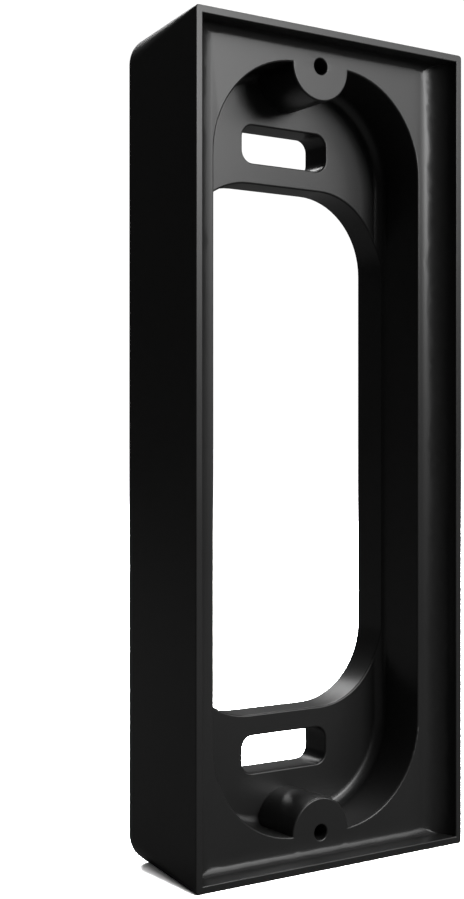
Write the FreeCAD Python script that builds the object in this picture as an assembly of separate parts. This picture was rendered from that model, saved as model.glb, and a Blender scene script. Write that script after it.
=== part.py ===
import FreeCAD, Part
import os

# Wall mounting frame for a slim video doorbell: one moulding, open at the front.
# Millimetres, +Z up. The open front looks towards -Y and the wall face towards +Y.
# The origin is the centre of the bottom end, halfway through the depth.

V = FreeCAD.Vector

# Outside
FRAME_HEIGHT = 128.0
FRAME_WIDTH = 51.3
FRAME_DEPTH = 19.3
FRONT_CORNER_ROUND = 0.5    # outline corners at the open front
BACK_CORNER_ROUND = 5.0     # outline corners at the wall face
RIM_EDGE_ROUND = 0.2        # outer edge of the front rim
RIM_INNER_ROUND = 0.2       # inner edge of the front rim
WALL_EDGE_ROUND = 0.4       # outer edge of the wall face

# Recess that takes the back of the doorbell
RIM_WALL = 1.2
RECESS_DEPTH = 4.1
RECESS_SIDE_WALL = 0.1      # straight part of a long wall, above the round at its foot
RECESS_SIDE_REACH = 4.25    # how far that round reaches over the floor
RECESS_END_ROUND = 1.4      # foot of the two end walls

# Deeper pocket between the two screw bosses
POCKET_SIDE_LAND = 0.35     # flat between the side round and the pocket
POCKET_CORNER_ROUND = 15.5
POCKET_FOOT_ROUND = 1.6
WEB_THICKNESS = 5.7

# Opening through the web
OPENING_SIDE_LEDGE = 0.35   # web left beside the opening
OPENING_HEIGHT = 83.9
OPENING_CORNER_ROUND = 12.5

# Slots for the wall screws
SLOT_LENGTH = 16.5
SLOT_HEIGHT = 5.95
SLOT_CORNER_ROUND = 2.0
SLOT_GAP = 3.35             # web between the opening and a slot

# Bosses for the screws that hold the doorbell
BOSS_RADIUS = 5.4
BOSS_TO_END_WALL = 3.35     # from an end wall to the screw's centre
SCREW_HOLE_RADIUS = 1.2
SCREW_HOLE_DEPTH = 10.0

# Small rounds on the edges that a cut leaves
POCKET_EDGE_ROUND = 0.3
BOSS_EDGE_ROUND = 0.3
CUTOUT_EDGE_ROUND = 0.3
SCREW_HOLE_EDGE_ROUND = 0.25

CUT_SPARE = 1.0             # how far a cutting tool stands out of the solid
NEAR = 1e-4                 # two places closer than this are the same

# Depths, counted from the rim towards the wall, and half sizes about the middle
front_y = -FRAME_DEPTH / 2
back_y = FRAME_DEPTH / 2
recess_y = front_y + RECESS_DEPTH
web_y = back_y - WEB_THICKNESS
middle_z = FRAME_HEIGHT / 2
recess_half_width = FRAME_WIDTH / 2 - RIM_WALL
recess_half_height = FRAME_HEIGHT / 2 - RIM_WALL
recess_side_rise = RECESS_DEPTH - RIM_INNER_ROUND - RECESS_SIDE_WALL
pocket_half_width = recess_half_width - RECESS_SIDE_REACH - POCKET_SIDE_LAND
opening_half_width = pocket_half_width - OPENING_SIDE_LEDGE
slot_centre = OPENING_HEIGHT / 2 + SLOT_GAP + SLOT_HEIGHT / 2
screw_centre = recess_half_height - BOSS_TO_END_WALL


def rounded_outline(half_width, half_height, radius, y):
    """Closed wire of a rounded rectangle at depth y, about the frame's middle."""
    inner_x = half_width - radius
    inner_z = half_height - radius
    diagonal = radius * 0.5 ** 0.5

    def at(x, z):
        return V(x, y, middle_z + z)

    corners = []
    for side_x, side_z in ((1, 1), (-1, 1), (-1, -1), (1, -1)):
        on_side = at(side_x * half_width, side_z * inner_z)
        on_arc = at(side_x * (inner_x + diagonal), side_z * (inner_z + diagonal))
        on_end = at(side_x * inner_x, side_z * half_height)
        if side_x == side_z:
            corners.append((on_side, on_arc, on_end))
        else:
            corners.append((on_end, on_arc, on_side))
    edges = []
    for (start, on_arc, stop), (after, _, _) in zip(corners, corners[1:] + corners[:1]):
        edges.append(Part.Arc(start, on_arc, stop).toShape())
        if stop.distanceToPoint(after) > NEAR:
            edges.append(Part.makeLine(stop, after))
    return Part.Wire(edges)


def prism(outline, depth):
    """Solid that runs from an outline towards the wall."""
    return Part.Face(outline).extrude(V(0, depth, 0))


def edges_at(solid, y):
    """Edges of a solid that lie wholly at depth y."""
    return [e for e in solid.Edges
            if abs(e.BoundBox.YMin - y) < NEAR and abs(e.BoundBox.YMax - y) < NEAR]


def on_cut(edges, tool):
    """Those edges that follow the outline of a tool that cuts straight towards the wall."""
    walls = Part.Compound([f for f in tool.Faces if abs(f.normalAt(0, 0).y) < NEAR])
    picked = []
    for edge in edges:
        if max(edge.BoundBox.XLength, edge.BoundBox.ZLength) < NEAR:
            continue
        span = edge.LastParameter - edge.FirstParameter
        samples = [edge.valueAt(edge.FirstParameter + span * share) for share in (0.1, 0.5, 0.9)]
        if all(walls.distToShape(Part.Vertex(p))[0] < NEAR for p in samples):
            picked.append(edge)
    return picked


def true_planes(solid):
    """The same solid, with the four flat sides of a ruled loft carried by true planes."""
    faces = []
    for face in solid.Faces:
        corners = [vertex.Point for vertex in face.OuterWire.OrderedVertexes]
        if len(corners) == 4 and face.findPlane():
            face = Part.Face(Part.makePolygon(corners + corners[:1]))
        faces.append(face)
    shell = Part.makeShell(faces)
    shell.sewShape()
    closed = Part.makeSolid(shell)
    if closed.Volume < 0:
        closed.reverse()
    return closed


def outer_block():
    """Block whose outline is square at the rim and grows rounded towards the wall."""
    half_width = FRAME_WIDTH / 2
    half_height = FRAME_HEIGHT / 2
    rim = rounded_outline(half_width, half_height, FRONT_CORNER_ROUND, front_y)
    wall = rounded_outline(half_width, half_height, BACK_CORNER_ROUND, back_y)
    block = true_planes(Part.makeLoft([rim, wall], True, True))
    block = block.makeFillet(WALL_EDGE_ROUND, edges_at(block, back_y))
    return block.makeFillet(RIM_EDGE_ROUND, edges_at(block, front_y))


def quarter(start, corner, stop):
    """Quarter of an ellipse, or of a circle, that touches both legs of a corner."""
    curve = Part.BezierCurve()
    curve.setPoles([start, corner, stop])
    curve.setWeight(2, 0.5 ** 0.5)
    return curve.toShape()


def channel(half_span, reach, rise, half_length, along):
    """Recess tool for two facing walls, each with a round lip and a round at its foot."""
    across = V(0, 0, 1) if along.x else V(1, 0, 0)
    start = V(0, 0, middle_z) - along * half_length
    open_y = front_y - CUT_SPARE
    outer = half_span + RIM_INNER_ROUND

    def at(offset, y):
        return start + across * offset + V(0, y, 0)

    def wall(side):
        """Lip, wall and foot on one side, from the open front down to the floor."""
        wall_top = at(side * half_span, front_y + RIM_INNER_ROUND)
        wall_foot = at(side * half_span, recess_y - rise)
        return [
            Part.makeLine(at(side * outer, open_y), at(side * outer, front_y)),
            quarter(at(side * outer, front_y), at(side * half_span, front_y), wall_top),
            Part.makeLine(wall_top, wall_foot),
            quarter(wall_foot, at(side * half_span, recess_y), at(side * (half_span - reach), recess_y)),
        ]

    floor = Part.makeLine(at(reach - half_span, recess_y), at(half_span - reach, recess_y))
    opening = Part.makeLine(at(outer, open_y), at(-outer, open_y))
    outline = Part.Wire(wall(-1) + [floor] + wall(1)[::-1] + [opening])
    return Part.Face(outline).extrude(along * 2 * half_length)


def recess_tool():
    """Shallow recess: the side rounds and the end rounds meet on a crisp mitre."""
    from_sides = channel(recess_half_width, RECESS_SIDE_REACH, recess_side_rise, FRAME_HEIGHT, V(0, 0, 1))
    from_ends = channel(recess_half_height, RECESS_END_ROUND, RECESS_END_ROUND, FRAME_WIDTH, V(1, 0, 0))
    return from_sides.common(from_ends)


def pocket_tool():
    """Pocket with well rounded corners; its ends run through the screws' centres."""
    outline = rounded_outline(pocket_half_width, screw_centre, POCKET_CORNER_ROUND,
                              recess_y - CUT_SPARE)
    tool = prism(outline, web_y - recess_y + CUT_SPARE)
    return tool.makeFillet(POCKET_FOOT_ROUND, edges_at(tool, web_y))


def boss(side):
    """Round boss at one end, from the web up to the recess floor, trimmed at the end wall."""
    height = web_y - recess_y + CUT_SPARE
    centre = V(0, recess_y, middle_z + side * screw_centre)
    post = Part.makeCylinder(BOSS_RADIUS, height, centre, V(0, 1, 0))
    post = post.makeFillet(BOSS_EDGE_ROUND, edges_at(post, recess_y))
    inside = rounded_outline(pocket_half_width, recess_half_height, FRONT_CORNER_ROUND, recess_y)
    return post.common(prism(inside, height))


def opening_tool():
    """Large window through the web."""
    outline = rounded_outline(opening_half_width, OPENING_HEIGHT / 2, OPENING_CORNER_ROUND, recess_y)
    return prism(outline, back_y - recess_y + CUT_SPARE)


def slot_tool(side):
    """Level slot for a wall screw, above or below the opening."""
    outline = rounded_outline(SLOT_LENGTH / 2, SLOT_HEIGHT / 2, SLOT_CORNER_ROUND, recess_y)
    tool = prism(outline, back_y - recess_y + CUT_SPARE)
    return tool.translated(V(0, 0, side * slot_centre))


def screw_hole_tool(side):
    """Blind pilot hole in a boss."""
    centre = V(0, recess_y - CUT_SPARE, middle_z + side * screw_centre)
    return Part.makeCylinder(SCREW_HOLE_RADIUS, SCREW_HOLE_DEPTH + CUT_SPARE, centre, V(0, 1, 0))


def mounting_frame():
    """The whole moulding."""
    frame = outer_block().cut(recess_tool())

    pocket = pocket_tool()
    frame = frame.cut(pocket)
    frame = frame.makeFillet(POCKET_EDGE_ROUND, on_cut(edges_at(frame, recess_y), pocket))
    frame = frame.fuse([boss(1), boss(-1)])

    for cutout in (opening_tool(), slot_tool(1), slot_tool(-1)):
        frame = frame.cut(cutout)
        frame = frame.makeFillet(CUTOUT_EDGE_ROUND, on_cut(frame.Edges, cutout))
    for side in (1, -1):
        hole = screw_hole_tool(side)
        frame = frame.cut(hole)
        frame = frame.makeFillet(SCREW_HOLE_EDGE_ROUND, on_cut(edges_at(frame, recess_y), hole))
    return frame


os.makedirs("parts", exist_ok=True)
moulding = mounting_frame()
moulding.Solids[0].exportStep("parts/mounting_frame.step")
box = moulding.BoundBox
print("mounting_frame: valid", moulding.isValid(), "- solids", len(moulding.Solids),
      "- cubic cm", round(moulding.Volume / 1000, 2),
      "- size", round(box.XLength, 2), round(box.YLength, 2), round(box.ZLength, 2))
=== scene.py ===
# %% [markdown]
# # A wall mounting frame for a slim video doorbell
# The real object is a single black moulding: a tall box, open at the front, that a doorbell
# sits in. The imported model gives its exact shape, so this lesson is about the two things that a
# believable part needs besides shape: a surface that shades cleanly, and a plastic that looks
# moulded.

# %% Load the frame
import bpy
from math import cos, radians, sin
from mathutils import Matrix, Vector


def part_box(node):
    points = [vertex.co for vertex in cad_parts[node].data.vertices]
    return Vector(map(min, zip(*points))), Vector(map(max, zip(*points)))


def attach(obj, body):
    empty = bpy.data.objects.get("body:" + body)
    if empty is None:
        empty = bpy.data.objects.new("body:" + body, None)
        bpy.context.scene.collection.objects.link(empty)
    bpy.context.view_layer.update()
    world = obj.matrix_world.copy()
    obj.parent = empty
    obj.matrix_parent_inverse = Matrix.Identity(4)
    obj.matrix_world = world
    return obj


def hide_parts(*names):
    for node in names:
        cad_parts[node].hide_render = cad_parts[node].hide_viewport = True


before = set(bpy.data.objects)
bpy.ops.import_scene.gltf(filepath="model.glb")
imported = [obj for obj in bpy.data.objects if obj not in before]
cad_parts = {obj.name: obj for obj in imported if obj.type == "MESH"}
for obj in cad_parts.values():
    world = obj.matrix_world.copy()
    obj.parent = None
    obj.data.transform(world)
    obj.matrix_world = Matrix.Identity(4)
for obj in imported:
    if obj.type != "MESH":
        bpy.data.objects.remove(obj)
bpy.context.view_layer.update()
MM = 0.001

low, high = (Vector(corner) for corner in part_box("mounting_frame"))
MIDDLE = (low + high) / 2
print("nodes", list(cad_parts), "size in mm", [round(v / MM, 1) for v in high - low])

# %% [markdown]
# ## The camera
# A small thing is best seen through a longish lens from not very far away. The camera stands
# level with the middle of the frame, off its left front corner. Because it is level, upright
# edges stay upright.

# %% Camera
CAMERA_PLACE = Vector((-139.97 * MM, -188.09 * MM, MIDDLE.z + 0.34 * MM))
CAMERA_TURN = 34.04         # degrees to the right of straight at the front
LENS = 59.22                # millimetres
SENSOR_SIDE = 36.0          # millimetres
CAMERA_SHIFT = -0.0025      # of the long side, downwards
NEAREST_SEEN = 10 * MM


def add_camera():
    data = bpy.data.cameras.new("camera")
    data.lens = LENS
    data.sensor_width = SENSOR_SIDE
    data.shift_y = CAMERA_SHIFT
    data.clip_start = NEAREST_SEEN
    camera = bpy.data.objects.new("camera", data)
    camera.location = CAMERA_PLACE
    camera.rotation_euler = (radians(90), 0, radians(-CAMERA_TURN))
    bpy.context.scene.collection.objects.link(camera)
    bpy.context.scene.camera = camera
    return camera


camera = add_camera()
print("camera to the frame's middle, mm:", round((camera.location - MIDDLE).length / MM))

# %% [markdown]
# ## Small helpers for nodes
# Node trees are long to write out. Two helpers keep each one short: `add` makes a node and
# sets its plain values, and `wire` joins sockets. They are used for the skin, the plastic and
# the floor.

# %% Node helpers
def add(tree, kind, label, inputs=None, **settings):
    """A node of this kind, with its label, its settings and its unlinked input values."""
    node = tree.nodes.new(kind)
    node.label = label
    for name, value in settings.items():
        setattr(node, name, value)
    for name, value in (inputs or {}).items():
        node.inputs[name].default_value = value
    return node


def wire(tree, *pairs):
    """Joins each (output, input) pair."""
    for output, entry in pairs:
        tree.links.new(output, entry)


# %% [markdown]
# ## A grain that several surfaces can share
# Moulded plastic copies its tool, and the tool is spark eroded, so the surface has a fine even
# grain with no direction. Two noises make it: a fine one for the grain itself, and a broad one
# for the faint patches where the plastic cooled at a different rate. The group gives out a
# height and a mask, never a shader, so any material can use it with a grain size of its own.

# %% The grain group
def grain_group():
    tree = bpy.data.node_groups.new("moulded_grain", "ShaderNodeTree")
    for name in ("Grain per metre", "Patches per metre"):
        tree.interface.new_socket(name, in_out="INPUT", socket_type="NodeSocketFloat")
    for name in ("Height", "Patches"):
        tree.interface.new_socket(name, in_out="OUTPUT", socket_type="NodeSocketFloat")
    entry = add(tree, "NodeGroupInput", "sizes")
    leave = add(tree, "NodeGroupOutput", "results")
    place = add(tree, "ShaderNodeTexCoord", "place on the piece")
    fine = add(tree, "ShaderNodeTexNoise", "fine grain", {"Detail": 3.0, "Roughness": 0.55})
    broad = add(tree, "ShaderNodeTexNoise", "broad patches", {"Detail": 4.0, "Roughness": 0.6})
    wire(tree,
         (place.outputs["Object"], fine.inputs["Vector"]),
         (place.outputs["Object"], broad.inputs["Vector"]),
         (entry.outputs["Grain per metre"], fine.inputs["Scale"]),
         (entry.outputs["Patches per metre"], broad.inputs["Scale"]),
         (fine.outputs["Fac"], leave.inputs["Height"]),
         (broad.outputs["Fac"], leave.inputs["Patches"]))
    return tree


GRAIN = grain_group()
print("grain group outputs", [item.name for item in GRAIN.interface.items_tree if item.in_out == "OUTPUT"])

# %% [markdown]
# ## The black plastic
# A black part is mostly seen by what it reflects, so its roughness matters more than its
# colour. The colour is a soft carbon black, a little lighter in the patches. The roughness
# varies by a few hundredths with the same patches, and the grain goes into the normal.

# %% Black plastic
CARBON_BLACK = (0.0130, 0.0130, 0.0130, 1.0)
PATCH_BLACK = (0.0170, 0.0170, 0.0168, 1.0)
SMOOTHEST, ROUGHEST = 0.30, 0.38
GRAIN_SIZES = {"Grain per metre": 6500.0, "Patches per metre": 45.0}
GRAIN_HEIGHT = 0.03 * MM
GRAIN_STRENGTH = 0.22       # share of that height that shows


def black_plastic():
    material = bpy.data.materials.new("black_plastic")
    material.use_nodes = True
    tree = material.node_tree
    tree.nodes.clear()
    leave = add(tree, "ShaderNodeOutputMaterial", "surface")
    shader = add(tree, "ShaderNodeBsdfPrincipled", "moulded plastic",
                 {"IOR": 1.5, "Specular IOR Level": 0.5, "Metallic": 0.0})
    grain = add(tree, "ShaderNodeGroup", "spark eroded grain", GRAIN_SIZES, node_tree=GRAIN)
    colour = add(tree, "ShaderNodeMix", "carbon black", data_type="RGBA")
    colour.inputs["A"].default_value = CARBON_BLACK
    colour.inputs["B"].default_value = PATCH_BLACK
    rough = add(tree, "ShaderNodeMapRange", "roughness", {"To Min": SMOOTHEST, "To Max": ROUGHEST})
    bump = add(tree, "ShaderNodeBump", "grain relief",
               {"Strength": GRAIN_STRENGTH, "Distance": GRAIN_HEIGHT})
    wire(tree,
         (grain.outputs["Patches"], colour.inputs["Factor"]),
         (grain.outputs["Patches"], rough.inputs["Value"]),
         (grain.outputs["Height"], bump.inputs["Height"]),
         (colour.outputs["Result"], shader.inputs["Base Color"]),
         (rough.outputs["Result"], shader.inputs["Roughness"]),
         (bump.outputs["Normal"], shader.inputs["Normal"]),
         (shader.outputs["BSDF"], leave.inputs["Surface"]))
    return material


PLASTIC = black_plastic()
print("plastic nodes", len(PLASTIC.node_tree.nodes))

# %% [markdown]
# ## One clean skin
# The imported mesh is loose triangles, each with its own corners, so it shades in facets. The
# skin is a copy of it. A Geometry Nodes tree welds the corners, marks the true creases sharp by
# their angle, smooths everything else and sets the material. It is a rule with two named sizes
# and a finish, so it would serve any moulding. A remesh would be the other way, but it would
# blur the small rounds that catch the light.

# %% The skin tree
def skin_tree():
    tree = bpy.data.node_groups.new("moulding_skin", "GeometryNodeTree")
    face = tree.interface
    face.new_socket("Geometry", in_out="INPUT", socket_type="NodeSocketGeometry")
    weld_input = face.new_socket("Weld distance", in_out="INPUT", socket_type="NodeSocketFloat")
    crease_input = face.new_socket("Crease angle", in_out="INPUT", socket_type="NodeSocketFloat")
    finish_input = face.new_socket("Finish", in_out="INPUT", socket_type="NodeSocketMaterial")
    face.new_socket("Geometry", in_out="OUTPUT", socket_type="NodeSocketGeometry")
    entry = add(tree, "NodeGroupInput", "loose triangles")
    leave = add(tree, "NodeGroupOutput", "skin")
    weld = add(tree, "GeometryNodeMergeByDistance", "weld the corners")
    smooth = add(tree, "GeometryNodeSetShadeSmooth", "smooth faces", domain="FACE")
    angle = add(tree, "GeometryNodeInputMeshEdgeAngle", "angle at each edge")
    crease = add(tree, "FunctionNodeCompare", "sharper than the crease angle", operation="GREATER_THAN")
    sharp = add(tree, "GeometryNodeSetShadeSmooth", "creases stay sharp", {"Shade Smooth": False},
                domain="EDGE")
    realize = add(tree, "GeometryNodeRealizeInstances", "plain mesh")
    finish = add(tree, "GeometryNodeSetMaterial", "finish")
    wire(tree,
         (entry.outputs["Geometry"], weld.inputs["Geometry"]),
         (entry.outputs["Weld distance"], weld.inputs["Distance"]),
         (weld.outputs["Geometry"], smooth.inputs["Geometry"]),
         (smooth.outputs["Geometry"], sharp.inputs["Geometry"]),
         (angle.outputs["Unsigned Angle"], crease.inputs["A"]),
         (entry.outputs["Crease angle"], crease.inputs["B"]),
         (crease.outputs["Result"], sharp.inputs["Selection"]),
         (sharp.outputs["Geometry"], realize.inputs["Geometry"]),
         (realize.outputs["Geometry"], finish.inputs["Geometry"]),
         (entry.outputs["Finish"], finish.inputs["Material"]),
         (finish.outputs["Geometry"], leave.inputs["Geometry"]))
    return tree, {"weld": weld_input.identifier, "crease": crease_input.identifier,
                  "finish": finish_input.identifier}


SKIN_TREE, SKIN_INPUTS = skin_tree()
print("skin tree inputs", SKIN_INPUTS)

# %% [markdown]
# ## Making the skin
# The tree's result is turned into a plain mesh. Then each corner's normal is weighted by the
# area and the angle of the faces round it, so that a wide flat stays flat right up to the small
# round beside it. Without that, a black surface shows long grey smears at every rounded edge.

# %% Mounting frame skin
WELD_DISTANCE = 0.002 * MM
CREASE_ANGLE = radians(60)
LARGE_FACE_WEIGHT = 100     # of 100: the largest face round a corner decides


def plain_mesh(obj, name):
    """Turns an object's evaluated result into its mesh and takes its modifiers away."""
    bpy.context.view_layer.update()
    shown = obj.evaluated_get(bpy.context.evaluated_depsgraph_get())
    mesh = bpy.data.meshes.new_from_object(shown)
    mesh.name = name
    obj.modifiers.clear()
    obj.data = mesh
    return obj


def skin_of(node):
    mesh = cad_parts[node].data.copy()
    mesh.materials.clear()
    skin = bpy.data.objects.new(node + "_skin", mesh)
    bpy.context.scene.collection.objects.link(skin)
    nodes = skin.modifiers.new("skin", "NODES")
    nodes.node_group = SKIN_TREE
    nodes[SKIN_INPUTS["weld"]] = WELD_DISTANCE
    nodes[SKIN_INPUTS["crease"]] = CREASE_ANGLE
    nodes[SKIN_INPUTS["finish"]] = PLASTIC
    plain_mesh(skin, node + "_welded")
    weighted = skin.modifiers.new("flat stays flat", "WEIGHTED_NORMAL")
    weighted.mode = "FACE_AREA_WITH_ANGLE"
    weighted.weight = LARGE_FACE_WEIGHT
    weighted.keep_sharp = True
    return plain_mesh(skin, node + "_skin")


skin = skin_of("mounting_frame")
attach(skin, "root")
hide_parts("mounting_frame")
print("skin", len(skin.data.vertices), "points,", len(skin.data.polygons), "faces")

# %% [markdown]
# ## The floor
# The frame stands on a white surface that runs away without a horizon. Two diffuse surfaces are
# chosen between by the kind of ray. The eye sees the pale one, whose colour is above 1 because
# the lights over it are weak. The plastic sees the dim one, because a black gloss would mirror a
# white floor and turn grey.

# %% Floor
FLOOR_HALF_SIZE = 40.0
PALE_FLOOR = (9.5, 9.5, 9.5, 1.0)
DIM_FLOOR = (0.10, 0.10, 0.10, 1.0)


def floor_material():
    material = bpy.data.materials.new("pale_floor")
    material.use_nodes = True
    tree = material.node_tree
    tree.nodes.clear()
    leave = add(tree, "ShaderNodeOutputMaterial", "surface")
    seen = add(tree, "ShaderNodeLightPath", "how the ray came")
    pale = add(tree, "ShaderNodeBsdfDiffuse", "pale", {"Color": PALE_FLOOR})
    dim = add(tree, "ShaderNodeBsdfDiffuse", "as the plastic sees it", {"Color": DIM_FLOOR})
    choose = add(tree, "ShaderNodeMixShader", "eye or reflection")
    wire(tree,
         (seen.outputs["Is Camera Ray"], choose.inputs[0]),
         (dim.outputs["BSDF"], choose.inputs[1]),
         (pale.outputs["BSDF"], choose.inputs[2]),
         (choose.outputs["Shader"], leave.inputs["Surface"]))
    return material


def add_floor():
    size = FLOOR_HALF_SIZE
    mesh = bpy.data.meshes.new("floor")
    corners = [(-size, -size, low.z), (size, -size, low.z), (size, size, low.z), (-size, size, low.z)]
    mesh.from_pydata(corners, [], [(0, 1, 2, 3)])
    mesh.materials.append(floor_material())
    floor = bpy.data.objects.new("floor", mesh)
    bpy.context.scene.collection.objects.link(floor)
    return floor


floor = add_floor()
print(floor.name, "at z =", round(low.z, 5))

# %% [markdown]
# ## The light
# Four lights do it. The key is a small softbox in front, low and a little to the right, and it
# draws the long highlight down the right-hand round. A large fill above it opens up the recess.
# A wide softbox behind and above catches the sloping top and the upward walls of the openings.
# A weak sun straight above keeps the far floor white. The room is nearly black to the plastic
# and white to the eye.

# %% Lights and world
WHITE = (1.0, 1.0, 1.0, 1.0)


def softbox(name, azimuth, elevation, distance, size, watts):
    """Area light aimed at the frame. Azimuth 0 is behind it (+Y), and 90 is on its right (+X)."""
    data = bpy.data.lights.new(name, "AREA")
    data.shape = "RECTANGLE"
    data.size, data.size_y = size
    data.energy = watts
    light = bpy.data.objects.new(name, data)
    turn, rise = radians(azimuth), radians(elevation)
    way = Vector((sin(turn) * cos(rise), cos(turn) * cos(rise), sin(rise)))
    light.location = MIDDLE + way * distance
    light.rotation_euler = (MIDDLE - light.location).to_track_quat("-Z", "Y").to_euler()
    bpy.context.scene.collection.objects.link(light)


def overhead_sun(strength, spread):
    """Sun straight above, as wide across the sky as its spread in degrees."""
    data = bpy.data.lights.new("overhead", "SUN")
    data.energy = strength
    data.angle = radians(spread)
    sun = bpy.data.objects.new("overhead", data)
    bpy.context.scene.collection.objects.link(sun)


def room(eye_level, dim_level):
    """World with one brightness for the eye and another for everything else."""
    world = bpy.data.worlds.new("room")
    world.use_nodes = True
    tree = world.node_tree
    tree.nodes.clear()
    leave = add(tree, "ShaderNodeOutputWorld", "room")
    seen = add(tree, "ShaderNodeLightPath", "how the ray came")
    bright = add(tree, "ShaderNodeBackground", "white to the eye",
                 {"Color": WHITE, "Strength": eye_level})
    dim = add(tree, "ShaderNodeBackground", "dark to the plastic",
              {"Color": WHITE, "Strength": dim_level})
    choose = add(tree, "ShaderNodeMixShader", "eye or reflection")
    wire(tree,
         (seen.outputs["Is Camera Ray"], choose.inputs[0]),
         (dim.outputs["Background"], choose.inputs[1]),
         (bright.outputs["Background"], choose.inputs[2]),
         (choose.outputs["Shader"], leave.inputs["Surface"]))
    bpy.context.scene.world = world


overhead_sun(strength=0.3, spread=80)
softbox("key", azimuth=161, elevation=20, distance=0.5, size=(0.12, 0.12), watts=0.8)
softbox("fill", azimuth=150, elevation=38, distance=1.0, size=(1.0, 1.0), watts=8.5)
softbox("behind_above", azimuth=20, elevation=50, distance=1.0, size=(0.7, 0.4), watts=9)
room(eye_level=1.05, dim_level=0.03)
bpy.context.scene.view_settings.view_transform = "Standard"
